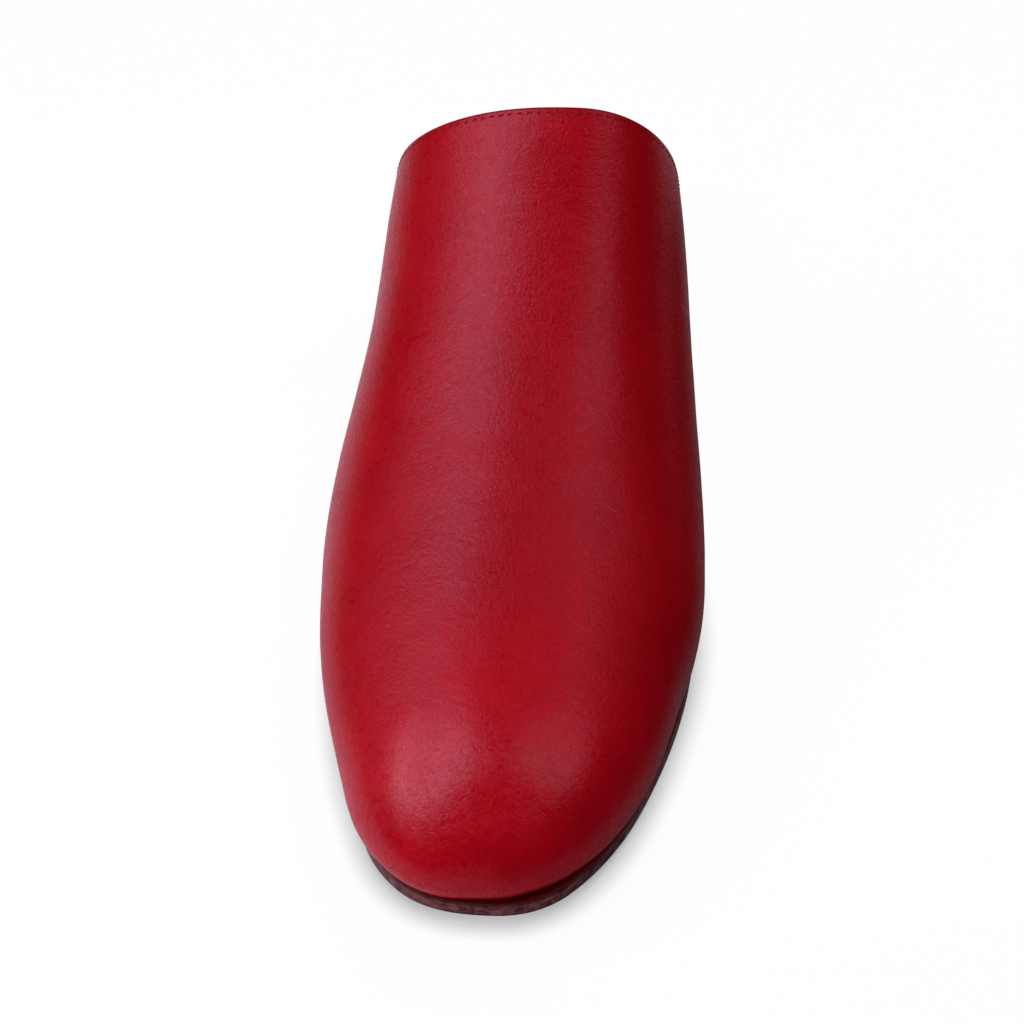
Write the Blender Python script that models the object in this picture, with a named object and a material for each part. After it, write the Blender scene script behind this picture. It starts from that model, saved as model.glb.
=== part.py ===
"""A leather mule for the right foot: a high one-piece vamp, open at the heel, on a thin sole and a low heel.

The toe points to -Y, the big-toe side is +X, and the shoe stands on z = 0 with the origin under the middle of its
box. Sizes are in millimetres, and each point is turned into metres where its mesh is made. A station is a distance
back from the toe along the last, the form that the shoe is built on.
"""

import math

import bmesh
import bpy
import numpy as np

METRES = 0.001

# The last and the leather on it
LAST_LENGTH = 252.0
WALL = 2.0
THROAT_STATION = 163.0  # where the collar crosses the crest
COLLAR_SLANT = 42.5  # how far the collar runs back on its way down to the sole
COLLAR_SWOOP = 12.0  # how much further it curves back at its foot
COLLAR_STARTS = 50.0  # the rows of the mesh lean towards the collar's slant from here on
TOE_ROUND, TOE_POWER = 61.0, 2.55  # in plan
TOE_BOX_ROUND, TOE_BOX_POWER = 46.0, 2.2  # in side view
HEEL_ROUND, HEEL_POWER = 34.0, 2.2

# The bottom
SOLE_THICKNESS = 4.5
SOLE_LEDGE = 1.0  # how far the sole stands out from the upper's foot
EDGE_ROUND = 0.7
TOE_SPRING = 5.0
TREAD_FRONT, TREAD_BACK = 70.0, 106.0  # the flat stretch under the ball
INSOLE_THICKNESS = 3.2
INSOLE_INSET_BEHIND = 0.4  # in from the upper's line, behind the collar
INSOLE_SPREADS = 1.5, 11.5  # it grows to that width between these distances behind the collar
HEEL_DISH = 1.0
DISH_STARTS, DISH_FULL = 190.0, 220.0

# The heel
HEEL_HEIGHT = 20.0  # at its back
SEAT_SLOPE = math.tan(math.radians(6.0))
SEAT_FRONT = 190.0
BREAST_STATION = 193.0
BREAST_HOLLOW = 3.0
HEEL_TAPER = 2.0
HEEL_INSET = 0.4
TOP_LIFT_THICKNESS = 4.5
TOP_LIFT_ROUND = 0.4

GAP = 0.3  # between pieces that touch

# How finely the solids are cut
UPPER_ROWS = 36
WALL_STEPS, DOME_STEPS = 4, 12
NORMAL_STEPS = 4  # finer rows and columns between those, for the direction of the wall
PLATE_STATIONS = 56
INSOLE_COLUMNS = 6
HEEL_STATIONS = 20
BREAST_STEPS = 6
HEEL_LEVELS = 4

# One row for each section through the upper. medial and lateral are its widest half widths, tuck is how far the wall
# comes back in to its foot on each side, height is from the foot to the crest, widest is the level of the greatest
# width, crest is how far the ridge lies to the medial side, and shoulder and side are the powers of the dome's curve.
SECTION_COLUMNS = (
    "station", "medial", "lateral", "tuck_medial", "tuck_lateral", "height", "widest", "crest", "shoulder", "side"
)
SECTIONS = (
    (0.0, 29.5, 33.5, 2.8, 2.8, 24.0, 5.0, 0.0, 2.05, 2.20),
    (30.0, 35.9, 37.0, 2.8, 3.2, 30.4, 9.0, 1.1, 2.05, 2.20),
    (60.0, 41.2, 42.7, 3.0, 3.2, 40.1, 15.0, 2.2, 1.98, 2.15),
    (90.0, 44.2, 46.9, 3.6, 3.6, 53.0, 17.0, 3.4, 1.92, 2.10),
    (120.0, 41.9, 45.9, 5.3, 4.4, 68.5, 22.0, 6.1, 1.88, 2.07),
    (150.0, 37.6, 40.4, 8.6, 5.4, 86.5, 30.0, 8.8, 2.10, 2.13),
    (180.0, 34.0, 37.4, 7.4, 4.6, 107.0, 34.0, 11.5, 2.50, 2.32),
    (215.0, 28.6, 31.0, 3.6, 2.2, 113.0, 34.0, 11.5, 2.60, 2.37),
    (252.0, 27.5, 28.5, 1.5, 1.5, 113.0, 34.0, 11.5, 2.60, 2.37),
)

LEATHER_RED = (0.36, 0.008, 0.018, 1.0)
LEATHER_TAN = (0.42, 0.23, 0.11, 1.0)
LEATHER_DARK = (0.045, 0.017, 0.011, 1.0)
STACK_BROWN = (0.075, 0.03, 0.016, 1.0)
RUBBER_DARK = (0.02, 0.014, 0.012, 1.0)

MEDIAL, LATERAL = 1, -1


def natural_spline(at, values):
    """The cubic curve through the values, with no bend at its two ends."""
    at, values = np.array(at, float), np.array(values, float)
    gaps = np.diff(at)
    count = len(at)
    system, right = np.eye(count), np.zeros(count)
    for i in range(1, count - 1):
        system[i, i - 1 : i + 2] = gaps[i - 1], 2 * (gaps[i - 1] + gaps[i]), gaps[i]
        right[i] = 6 * ((values[i + 1] - values[i]) / gaps[i] - (values[i] - values[i - 1]) / gaps[i - 1])
    bend = np.linalg.solve(system, right)

    def curve(x):
        i = np.clip(np.searchsorted(at, x) - 1, 0, count - 2)
        gap, after, before = gaps[i], at[i + 1] - x, x - at[i]
        bowed = (bend[i] * after**3 + bend[i + 1] * before**3) / (6 * gap)
        start = (values[i] / gap - bend[i] * gap / 6) * after
        end = (values[i + 1] / gap - bend[i + 1] * gap / 6) * before
        return bowed + start + end

    return curve


STATIONS = [row[0] for row in SECTIONS]
SHAPE = {
    name: natural_spline(STATIONS, [row[i] for row in SECTIONS])
    for i, name in enumerate(SECTION_COLUMNS)
}


def ease(t):
    """From 0 to 1 with a level start and end."""
    t = np.clip(t, 0, 1)
    return t * t * (3 - 2 * t)


def end_rounding(distance, radius, power):
    """0 at the very end of a form and 1 from the radius on, along a rounded corner."""
    share = np.clip(1 - distance / radius, 0, 1)
    return (1 - share**power) ** (1 / power)


def half_width(station, side):
    """The upper's widest half width, rounded off at the toe and the heel."""
    width = np.where(side > 0, SHAPE["medial"](station), SHAPE["lateral"](station))
    toe = end_rounding(station, TOE_ROUND, TOE_POWER)
    heel = end_rounding(LAST_LENGTH - station, HEEL_ROUND, HEEL_POWER)
    return width * toe * heel


def tuck(station, side):
    return np.where(side > 0, SHAPE["tuck_medial"](station), SHAPE["tuck_lateral"](station))


def outline_normal(station, side):
    """The direction in plan, as x and y, that points out of the widest outline."""
    step = 0.02
    low = np.clip(station - step, 0, LAST_LENGTH)
    high = np.clip(station + step, 0, LAST_LENGTH)
    slope = (half_width(high, side) - half_width(low, side)) / (high - low)
    length = np.hypot(1, slope)
    return side / length, -slope / length


def outline(station, side, inset):
    """A point in plan on the widest outline, moved inwards."""
    out_x, out_y = outline_normal(station, side)
    return side * half_width(station, side) - inset * out_x, station - inset * out_y


def sole_bottom(station):
    """The outsole's underside in side view: toe spring, a flat tread, the waist and the sloping heel seat."""
    station = np.asarray(station, float)
    spring = TOE_SPRING * (np.clip(TREAD_FRONT - station, 0, None) / TREAD_FRONT) ** 2
    seat = HEEL_HEIGHT - SEAT_SLOPE * (LAST_LENGTH - station)
    seat_front = HEEL_HEIGHT - SEAT_SLOPE * (LAST_LENGTH - SEAT_FRONT)
    span = SEAT_FRONT - TREAD_BACK
    t = np.clip((station - TREAD_BACK) / span, 0, 1)
    waist = seat_front * (3 * t**2 - 2 * t**3) + SEAT_SLOPE * span * (t**3 - t**2)
    return np.where(station < TREAD_FRONT, spring, np.where(station > SEAT_FRONT, seat, waist))


def sole_top(station):
    return sole_bottom(station) + SOLE_THICKNESS


def dome_angle(level):
    return np.clip(level - 1, 0, 1) * math.pi / 2


def rise(station, level):
    """Height above the foot. level is 0 at the foot, 1 at the greatest width and 2 at the crest."""
    widest = SHAPE["widest"](station)
    dome = (SHAPE["height"](station) - widest) * end_rounding(station, TOE_BOX_ROUND, TOE_BOX_POWER)
    return widest * np.clip(level, 0, 1) + dome * np.sin(dome_angle(level)) ** (2 / SHAPE["shoulder"](station))


def skin(station, level, side):
    """Points of the upper's outer face."""
    share = np.clip(np.cos(dome_angle(level)), 0, 1) ** (2 / SHAPE["side"](station))
    crest = SHAPE["crest"](station) * end_rounding(station, TOE_ROUND, TOE_POWER)
    half = half_width(station, side) - side * crest
    pull = tuck(station, side) * np.clip(1 - level, 0, 1) ** 2
    out_x, out_y = outline_normal(station, side)
    x = crest + side * half * share - pull * out_x
    y = station - pull * out_y
    return np.stack([x, y, sole_top(y) + GAP + rise(station, level)], axis=-1)


def skin_grid(rows, wall_steps, dome_steps):
    """The outer face, in rows from the toe to the collar that go from the medial foot over the crest."""
    along = THROAT_STATION * (1 - np.cos(np.linspace(0, math.pi / 2, rows + 1)))
    levels = np.concatenate([np.linspace(0, 1, wall_steps + 1), 1 + np.linspace(0, 1, dome_steps + 1)[1:]])
    lean = np.clip((along - COLLAR_STARTS) / (THROAT_STATION - COLLAR_STARTS), 0, 1)[:, None] ** 2
    station = along[:, None] + 0 * levels
    for _ in range(6):  # a point's height and its station each depend on the other
        down = 1 - rise(station, levels) / rise(along[:, None], 2.0)
        station = along[:, None] + lean * (COLLAR_SLANT * down + COLLAR_SWOOP * down**3)
    level = np.broadcast_to(levels, station.shape)
    medial = skin(station, level, MEDIAL)
    lateral = skin(station, level, LATERAL)
    points = np.concatenate([medial, lateral[:, -2::-1]], axis=1)
    points[0, :, 0] = 0.0
    return points


def grid_normals(points):
    """Outward directions at the points of a grid like skin_grid's."""
    across = np.cross(np.gradient(points, axis=0), np.gradient(points, axis=1))
    length = np.linalg.norm(across, axis=2, keepdims=True)
    normals = across / np.maximum(length, 1e-12)
    normals[0] = (0.0, -1.0, 0.0)
    return normals


def inner_grid(outer, normals):
    """The lining's face, one wall inside the outer one and level with its foot."""
    inner = outer - WALL * normals
    for column in (0, -1):
        inner[:, column, 2] = sole_top(inner[:, column, 1]) + GAP
    return inner


def strip(mesh, first, second):
    """Faces between two rows of vertices of the same length."""
    for i in range(len(first) - 1):
        mesh.faces.new((first[i], first[i + 1], second[i + 1], second[i]))


def add_vertices(mesh, points):
    """Vertices at points in millimetres, moved so that the origin is under the middle of the shoe."""
    placed = (np.asarray(points, float) - ORIGIN) * METRES
    return [mesh.verts.new(point) for point in placed]


def finish_object(name, mesh, colour, roughness, bevel=0.0):
    """Makes the object, with closed outward faces, smooth shading, its material and, if asked, rounded edges."""
    bmesh.ops.remove_doubles(mesh, verts=mesh.verts, dist=1e-3 * METRES)
    bmesh.ops.recalc_face_normals(mesh, faces=mesh.faces)
    data = bpy.data.meshes.new(name)
    mesh.to_mesh(data)
    mesh.free()
    data.shade_smooth()
    data.set_sharp_from_angle(angle=math.radians(40))
    piece = bpy.data.objects.new(name, data)
    bpy.context.scene.collection.objects.link(piece)
    if bevel:
        rounded = piece.modifiers.new("rounded_edge", "BEVEL")
        rounded.width = bevel * METRES
        rounded.segments = 2
        rounded.limit_method = "ANGLE"
        rounded.angle_limit = math.radians(50)
    material = bpy.data.materials.new(name)
    material.use_nodes = True
    shader = material.node_tree.nodes["Principled BSDF"]
    shader.inputs["Base Color"].default_value = colour
    shader.inputs["Roughness"].default_value = roughness
    shader.inputs["Metallic"].default_value = 0.0
    data.materials.append(material)
    return piece


def make_upper():
    """One hollow leather wall, open underneath and at the collar."""
    fine = skin_grid(UPPER_ROWS * NORMAL_STEPS, WALL_STEPS * NORMAL_STEPS, DOME_STEPS * NORMAL_STEPS)
    outer = fine[::NORMAL_STEPS, ::NORMAL_STEPS]
    inner = inner_grid(outer, grid_normals(fine)[::NORMAL_STEPS, ::NORMAL_STEPS])
    mesh = bmesh.new()
    outside = [add_vertices(mesh, row) for row in outer]
    inside = [add_vertices(mesh, row) for row in inner]
    for rows in (outside, inside):
        for first, second in zip(rows, rows[1:]):
            strip(mesh, first, second)
    for column in (0, -1):
        strip(mesh, [row[column] for row in outside], [row[column] for row in inside])
    strip(mesh, outside[-1], inside[-1])
    return finish_object("upper", mesh, LEATHER_RED, 0.45)


def plate_stations(count):
    """Stations that crowd towards the rounded toe and heel, without their very tips."""
    return LAST_LENGTH / 2 * (1 - np.cos(np.linspace(0, math.pi, count + 1)[1:-1]))


def make_plate(name, inset, top, bottom, columns, colour, roughness):
    """A sole or insole: a sheet with the shoe's outline, its top and bottom heights given by functions."""
    stations = plate_stations(PLATE_STATIONS)
    medial = np.stack(outline(stations, MEDIAL, inset(stations, MEDIAL)), axis=-1)
    lateral = np.stack(outline(stations, LATERAL, inset(stations, LATERAL)), axis=-1)
    mesh = bmesh.new()

    def ribs(height, steps):
        rows = []
        for near, far in zip(medial, lateral):
            plan = near + (far - near) * np.linspace(0, 1, steps + 1)[:, None]
            middle = 1 - np.abs(np.linspace(-1, 1, steps + 1))
            z = height(plan[:, 1], middle)
            rows.append(add_vertices(mesh, np.column_stack([plan, z])))
        return rows

    upper_rows = ribs(top, columns)
    lower_rows = ribs(bottom, 1)
    for rows in (upper_rows, lower_rows):
        for first, second in zip(rows, rows[1:]):
            strip(mesh, first, second)
    for column in (0, -1):
        strip(mesh, [row[column] for row in upper_rows], [row[column] for row in lower_rows])
    for end in (0, -1):
        mesh.faces.new([*upper_rows[end], lower_rows[end][1], lower_rows[end][0]])
    return finish_object(name, mesh, colour, roughness, EDGE_ROUND)


def outsole_inset(station, side):
    return tuck(station, side) - SOLE_LEDGE


def insole_inset(station, side):
    """Inside the wall under the vamp, and out almost to the upper's line behind it."""
    starts, ends = INSOLE_SPREADS
    past_collar = station - (THROAT_STATION + COLLAR_SLANT + COLLAR_SWOOP)
    behind = ease((past_collar - starts) / (ends - starts))
    within = WALL + GAP
    return tuck(station, side) + within + (INSOLE_INSET_BEHIND - within) * behind


def insole_top(station, middle):
    """Flat under the forefoot, and dished a little under the heel bone."""
    back = ease((station - DISH_STARTS) / (DISH_FULL - DISH_STARTS))
    dish = HEEL_DISH * np.sin(middle * math.pi / 2) ** 2 * back
    return sole_top(station) + GAP + INSOLE_THICKNESS - dish


def make_soles():
    make_plate(
        "outsole",
        outsole_inset,
        lambda station, middle: sole_top(station),
        lambda station, middle: sole_bottom(station),
        1,
        LEATHER_DARK,
        0.5,
    )
    make_plate(
        "insole",
        insole_inset,
        insole_top,
        lambda station, middle: sole_top(station) + GAP,
        INSOLE_COLUMNS,
        LEATHER_TAN,
        0.55,
    )


def heel_ring(inset, breast_back):
    """The heel's outline in plan, round the back and along the hollow breast, moved inwards."""
    turn = np.linspace(0, math.pi / 2, HEEL_STATIONS + 1)[:-1]
    breast = BREAST_STATION + breast_back
    stations = breast + (LAST_LENGTH - breast) * np.sin(turn)
    medial = np.stack(outline(stations, MEDIAL, outsole_inset(stations, MEDIAL) + inset), axis=-1)
    lateral = np.stack(outline(stations, LATERAL, outsole_inset(stations, LATERAL) + inset), axis=-1)
    share = np.linspace(0, 1, BREAST_STEPS + 1)[1:-1, None]
    front = lateral[0] + (medial[0] - lateral[0]) * share
    front[:, 1:] += BREAST_HOLLOW * 4 * share * (1 - share)
    return np.concatenate([medial, lateral[::-1], front])


def make_block(name, rings, colour, roughness, bevel):
    """A solid between stacked rings of points, closed at the top and the bottom."""
    mesh = bmesh.new()
    levels = [add_vertices(mesh, ring) for ring in rings]
    for upper_ring, lower_ring in zip(levels, levels[1:]):
        strip(mesh, [*upper_ring, upper_ring[0]], [*lower_ring, lower_ring[0]])
    mesh.faces.new(levels[0])
    mesh.faces.new(levels[-1])
    return finish_object(name, mesh, colour, roughness, bevel)


def make_heel():
    """The stacked block, from the sole's slanted seat down to the top lift, and the lift that wears."""
    base = TOP_LIFT_THICKNESS + GAP
    rings = []
    for share in np.linspace(0, 1, HEEL_LEVELS):
        taper = HEEL_TAPER * share**0.8
        plan = heel_ring(HEEL_INSET + taper, taper)
        seat = sole_bottom(plan[:, 1]) - GAP
        rings.append(np.column_stack([plan, seat + (base - seat) * share]))
    make_block("heel", rings, STACK_BROWN, 0.45, 0.0)
    foot = heel_ring(HEEL_INSET + HEEL_TAPER, HEEL_TAPER)
    lift = [np.column_stack([foot, np.full(len(foot), z)]) for z in (TOP_LIFT_THICKNESS, 0.0)]
    make_block("top_lift", lift, RUBBER_DARK, 0.7, TOP_LIFT_ROUND)


def shoe_middle():
    """The point on the floor under the middle of the shoe's box."""
    stations = plate_stations(PLATE_STATIONS)
    sides = [outline(stations, side, outsole_inset(stations, side)) for side in (MEDIAL, LATERAL)]
    walls = skin_grid(60, 8, 12)
    x = np.concatenate([*(plan[0] for plan in sides), walls[..., 0].ravel()])
    y = np.concatenate([plan[1] for plan in sides])
    return np.array([(x.min() + x.max()) / 2, (y.min() + y.max()) / 2, 0.0])


def clear_scene():
    for old in list(bpy.data.objects):
        bpy.data.objects.remove(old, do_unlink=True)


clear_scene()
ORIGIN = shoe_middle()
make_upper()
make_soles()
make_heel()
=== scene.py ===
"""A red leather mule for the right foot: its leather, stitching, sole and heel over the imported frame, and the studio.

Sizes on the shoe are in millimetres and are turned into metres where a mesh is made. A station is a distance back from
the toe along the last, the form that the shoe is built on. The toe points to -Y and the big-toe side is +X.
"""

import math

import bmesh
import bpy
import numpy as np
from mathutils import Matrix, Vector, noise


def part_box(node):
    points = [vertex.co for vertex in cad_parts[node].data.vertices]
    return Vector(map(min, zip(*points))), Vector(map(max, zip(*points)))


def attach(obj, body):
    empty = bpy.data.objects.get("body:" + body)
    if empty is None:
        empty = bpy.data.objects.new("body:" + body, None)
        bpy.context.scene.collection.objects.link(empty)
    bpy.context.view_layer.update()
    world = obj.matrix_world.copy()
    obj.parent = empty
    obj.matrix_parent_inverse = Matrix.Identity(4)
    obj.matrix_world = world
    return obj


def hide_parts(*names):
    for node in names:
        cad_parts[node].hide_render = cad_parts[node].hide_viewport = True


bl_info = {
    "name": "Leather mule",
    "version": (1, 0, 0),
    "blender": (4, 5, 0),
    "location": "3D View > Sidebar > Mule",
    "description": "Makes the leather, stitching, sole and heel of a mule, and a studio for it",
    "category": "Add Mesh",
}

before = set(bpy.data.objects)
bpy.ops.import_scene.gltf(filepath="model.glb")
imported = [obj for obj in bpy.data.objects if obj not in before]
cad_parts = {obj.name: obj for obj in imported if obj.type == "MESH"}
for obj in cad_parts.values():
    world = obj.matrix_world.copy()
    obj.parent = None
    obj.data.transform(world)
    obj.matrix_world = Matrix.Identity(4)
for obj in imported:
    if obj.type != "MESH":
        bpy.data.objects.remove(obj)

MM = 0.001
BODY = "root"
MEDIAL, LATERAL = 1, -1

# The last and the leather on it, as the solids have them
LAST_LENGTH = 252.0
WALL = 2.0
THROAT_STATION = 163.0
COLLAR_SLANT = 42.5
COLLAR_SWOOP = 12.0
COLLAR_STARTS = 50.0
COLLAR_PEAK = 0.7
PEAK_STARTS, PEAK_SPAN = 1.3, 0.7  # in levels, up to the crest at 2
TOE_ROUND, TOE_POWER = 61.0, 2.55
TOE_BOX_ROUND, TOE_BOX_POWER = 46.0, 2.2
TOE_BOX_EASED = 9.0  # how far each way its rounding is averaged, in full from the second of these stations on
TOE_BOX_EASES = 14.0, 32.0
HEEL_ROUND, HEEL_POWER = 34.0, 2.2
GAP = 0.3

# How far the leather stands out from the last's widest line: station and distance
FULLNESS = {
    MEDIAL: (
        (0.0, 0.0), (0.6, -0.5), (1.5, -0.8), (4.0, -0.85), (9.0, -0.55), (15.0, -0.3), (30.0, -0.17), (48.0, -0.2),
        (60.0, -0.2), (67.0, 0.1), (76.0, 0.5), (86.0, 0.5), (97.0, 0.2), (110.0, 0.15), (130.0, 0.3), (160.0, 0.3),
        (172.0, 0.0), (182.0, -0.6), (200.0, -0.4), (216.0, 0.0), (252.0, 0.0),
    ),
    LATERAL: (
        (0.0, 0.0), (0.6, 0.65), (1.5, 0.9), (4.0, 1.1), (9.0, 1.1), (15.0, 1.3), (20.0, 1.35), (26.0, 0.95),
        (36.0, 0.4), (48.0, 0.45), (62.0, 0.6), (76.0, 0.3), (88.0, 0.05), (100.0, 0.3), (120.0, 0.6), (150.0, 0.7),
        (168.0, 0.7), (180.0, 0.45), (200.0, 0.2), (216.0, 0.0), (252.0, 0.0),
    ),
}

# The bottom
SOLE_THICKNESS = 4.5
SOLE_LEDGE = {  # how far the sole stands out from the foot of the upper on the last: station and distance
    MEDIAL: (
        (0.0, 1.3), (1.5, 1.4), (5.0, 1.4), (8.0, 1.25), (11.0, 0.95), (15.0, 0.68), (20.0, 0.4), (26.0, 0.17),
        (34.0, -0.08), (44.0, -0.22), (52.0, 0.0), (60.0, 0.4), (70.0, 0.8), (84.0, 1.0), (252.0, 1.0),
    ),
    LATERAL: (
        (0.0, 1.3), (1.5, 1.25), (5.0, 1.5), (10.0, 1.55), (16.0, 1.6), (20.0, 1.5), (26.0, 1.1), (36.0, 0.8),
        (60.0, 0.8), (110.0, 0.9), (150.0, 1.0), (252.0, 1.0),
    ),
}
TOE_SPRING = 5.0
TREAD_FRONT, TREAD_BACK = 70.0, 106.0
INSOLE_THICKNESS = 3.2
INSOLE_INSET_BEHIND = 0.4
INSOLE_SPREADS = 1.5, 11.5
HEEL_DISH = 1.0
DISH_STARTS, DISH_FULL = 190.0, 220.0

# The heel
HEEL_HEIGHT = 20.0
SEAT_SLOPE = math.tan(math.radians(6.0))
SEAT_FRONT = 190.0
BREAST_STATION = 193.0
BREAST_HOLLOW = 3.0
HEEL_TAPER = 2.0
HEEL_INSET = 0.4
TOP_LIFT_THICKNESS = 4.5

# How finely the pieces are cut
VAMP_ROWS, WALL_STEPS, DOME_STEPS = 170, 14, 46
LINING_ROWS, LINING_WALL_STEPS, LINING_DOME_STEPS = 90, 8, 26
PLATE_STATIONS, PLATE_COLUMNS = 170, 18
HEEL_STATIONS, BREAST_STEPS = 60, 24
ARC_STEPS = 4
SAME_POINT = 0.001  # points closer than this are made one
SMOOTH_BELOW = math.radians(50)

# Small sizes at the pieces' edges
SEAM = 0.05  # left between pieces that touch
LINING_SHORT = 0.25  # how far the lining stops below the vamp's edge
SMALL_ROUND = 0.3  # the edges of the lining and of the sock's underside
LIFT_ROUND = 0.25  # the top lift's upper edge
TAPER_POWER = 0.8  # the heel tapers quickly at first

# The leather's own small shape
SHAPED_FROM_TIP = 25.0  # the station from which it is there in full
SHAPED_FROM_FOOT = 1.0, 7.0  # the heights above the sole where it starts and is there in full
WAVES = (0.10, 21.0, 3), (0.05, 9.0, 5)  # depth, size and seed
STITCH_GROOVE, GROOVE_WIDTH = 0.07, 0.7
COLLAR_ROWS = 14  # rows of the vamp whose distance from the collar is found
COLLAR_REACH = 12.0  # how far in front of the collar its distance is stored
FAR = 99.0  # the distance given to everything further than that

# The stitches
STITCH_SLANT = math.radians(9.0)
STITCH_WOBBLE = 0.06
STITCH_UNEVENNESS = 0.08
STITCH_SEED = 7
BARE_PITCHES = 3.0  # left without stitches at the collar's two ends together

# One row for each section through the upper, with the columns below
SECTION_COLUMNS = (
    "station", "medial", "lateral", "tuck_medial", "tuck_lateral", "height", "widest", "crest", "shoulder", "side"
)
SECTIONS = (
    (0.0, 29.5, 33.5, 2.8, 2.8, 24.0, 5.0, 0.0, 2.05, 2.20),
    (30.0, 35.9, 37.0, 2.8, 3.2, 30.4, 9.0, 1.1, 2.05, 2.20),
    (60.0, 41.2, 42.7, 3.0, 3.2, 40.1, 15.0, 2.2, 1.98, 2.15),
    (90.0, 44.2, 46.9, 3.6, 3.6, 53.0, 17.0, 3.4, 1.92, 2.10),
    (120.0, 41.9, 45.9, 5.3, 4.4, 68.5, 22.0, 6.1, 1.88, 2.07),
    (150.0, 37.6, 40.4, 8.6, 5.4, 86.5, 30.0, 8.8, 2.10, 2.13),
    (180.0, 34.0, 37.4, 7.4, 4.6, 107.0, 34.0, 11.5, 2.50, 2.32),
    (215.0, 28.6, 31.0, 3.6, 2.2, 113.0, 34.0, 11.5, 2.60, 2.37),
    (252.0, 27.5, 28.5, 1.5, 1.5, 113.0, 34.0, 11.5, 2.60, 2.37),
)

# Soft creases across the vamp: station and place to the medial side of its middle, half its length, how far its ends
# curve back, its width, and its depth, which is below zero for a ridge
CREASES = (
    (86.0, 4.0, 26.0, 6.0, 3.6, 0.10),
    (92.0, 2.0, 30.0, 7.0, 4.0, -0.07),
    (99.0, -3.0, 28.0, 7.0, 3.8, 0.12),
    (113.0, 6.0, 24.0, 6.0, 4.2, 0.08),
    (126.0, 16.0, 12.0, 3.0, 2.6, 0.06),
    (141.0, 17.0, 11.0, 2.0, 2.4, 0.07),
    (152.0, -12.0, 14.0, 3.0, 3.4, 0.06),
)

# Broad hollows of the vamp, in millimetres pressed in, below zero for a swelling: first the places across, to the
# medial side of the crest, with how far each spreads across and along, and then a row for each station
HOLLOWS = (
    (
        (-36.0, -27.0, -18.0, -9.0, 0.0, 9.0, 18.0, 27.0, 36.0), 8.5, 14.0,
        (14.0, (0.03, 0.04, -0.11, -0.10, -0.24, -0.09, -0.06, -0.04, 0.00)),
        (30.0, (0.10, 0.01, -0.21, -0.22, -0.44, -0.23, -0.18, -0.09, 0.01)),
        (46.0, (0.34, 0.13, -0.38, -0.40, -0.25, -0.12, -0.40, -0.06, 0.03)),
        (62.0, (0.51, 0.14, -0.21, -0.29, -0.12, 0.05, -0.32, 0.04, 0.06)),
        (80.0, (0.59, 0.38, 0.03, -0.19, -0.06, 0.19, 0.06, 0.13, 0.06)),
        (98.0, (0.36, 0.35, 0.01, -0.20, 0.05, 0.15, -0.03, -0.09, 0.00)),
        (116.0, (0.07, 0.03, -0.17, -0.10, 0.30, 0.07, -0.18, -0.08, 0.00)),
        (136.0, (0.10, 0.04, -0.33, -0.20, 0.11, -0.04, -0.04, 0.00, 0.00)),
        (156.0, (0.38, 0.22, -0.18, -0.33, -0.17, 0.14, 0.02, 0.00, 0.00)),
        (176.0, (0.08, 0.06, 0.04, 0.04, 0.01, 0.05, 0.01, 0.00, 0.00)),
    ),
    (
        (-27.0, -20.0, -13.0, -6.0, 1.0, 8.0, 15.0, 22.0, 29.0), 6.0, 6.0,
        (10.0, (0.08, -0.14, -0.25, -0.05, 0.05, 0.08, 0.03, 0.01, 0.00)),
        (17.0, (0.15, -0.27, 0.22, -0.34, -0.27, -0.06, -0.15, -0.07, 0.00)),
        (24.0, (0.09, -0.17, 0.32, -0.25, -0.37, -0.25, 0.06, -0.17, -0.03)),
        (31.0, (-0.04, -0.32, -0.05, -0.38, -0.26, -0.17, -0.02, -0.17, -0.01)),
        (38.0, (0.00, -0.17, -0.04, -0.31, -0.12, -0.02, -0.22, -0.14, 0.03)),
    ),
)

# The camera, in metres
CAMERA_PLACE = Vector((0.0999, -0.7622, 0.7270))
CAMERA_LOOKS_AT = Vector((0.0010, -0.0347, 0.0456))
CAMERA_UP = Vector((-0.0396, 0.6808, 0.7314))
SENSOR_WIDTH = 36.0  # in millimetres
CLIP_START = 0.01

# The lights, in metres: place, size, colour, the point that each faces, and what it is left out of besides the camera
SHOE, FOREPART, TOE = (0.0, -0.02, 0.06), (0.0, -0.08, 0.04), (-0.0147, -0.109, 0.0287)
WHITE = (1.0, 1.0, 1.0)
LIGHTS = {
    "key": ((-0.242, -0.079, 0.348), (0.23, 0.35), (1.0, 0.89, 1.05), SHOE, ()),
    "fill": ((0.196, -0.077, 0.384), (0.15, 0.27), (1.0, 0.96, 1.0), SHOE, ()),
    "glint": ((-0.22, -0.112, 0.25), (0.02, 0.02), (1.0, 0.62, 0.3), TOE, ("diffuse",)),
    "front": ((-0.12, -1.0, 0.14), (0.6, 0.3), WHITE, FOREPART, ("glossy",)),
    "back": ((0.0, 0.75, 0.85), (0.8, 0.8), WHITE, FOREPART, ("glossy",)),
    "right": ((0.35, 0.15, 0.30), (0.2, 0.2), WHITE, FOREPART, ("glossy",)),
    "left": ((-0.90, 0.0, 0.12), (0.4, 0.2), WHITE, FOREPART, ("glossy",)),
}

# The floor and the room
FLOOR_RADIUS = 6.0
SEEN_ROOM = 0.98  # the room's brightness where the camera sees it
UNLIT_FLOOR, LIT_FLOOR = (0.02, 0.02, 0.02, 1.0), (0.95, 0.82, 0.90, 1.0)  # as everything but the camera sees them
# How far the painted contact shadow in the floor's glow reaches, in metres
CONTACT_SHADOW = 0.0062


# ---------------------------------------------------------------- shape of the shoe


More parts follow.
